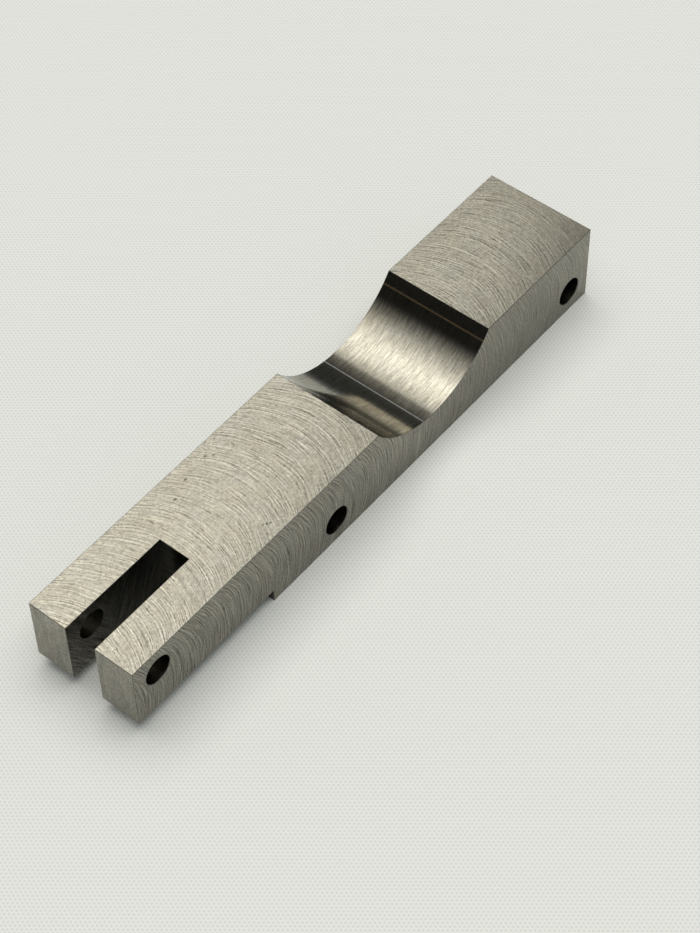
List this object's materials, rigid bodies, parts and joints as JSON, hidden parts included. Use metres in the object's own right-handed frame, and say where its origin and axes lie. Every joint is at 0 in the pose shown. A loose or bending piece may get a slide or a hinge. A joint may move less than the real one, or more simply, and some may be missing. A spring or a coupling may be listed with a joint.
{
  "type": "machined forked lever",
  "caption": "Flat machined bar with a slotted fork at one end, a round saddle across the top and plain cross bores for pins.",
  "frame": {"origin": "middle of the part's box, on the plane of the flat seat", "axes": "+X along the bar to the plain head, +Y along the bores, +Z out of the top face"},
  "size_m": [0.11, 0.02, 0.015],
  "materials": {
    "milled_steel": "bare milled faces with cutter arcs, a brushed saddle and lightly filed edges"
  },
  "bodies": {
    "root": {"forked_lever": "milled_steel"}
  },
  "joints": []
}
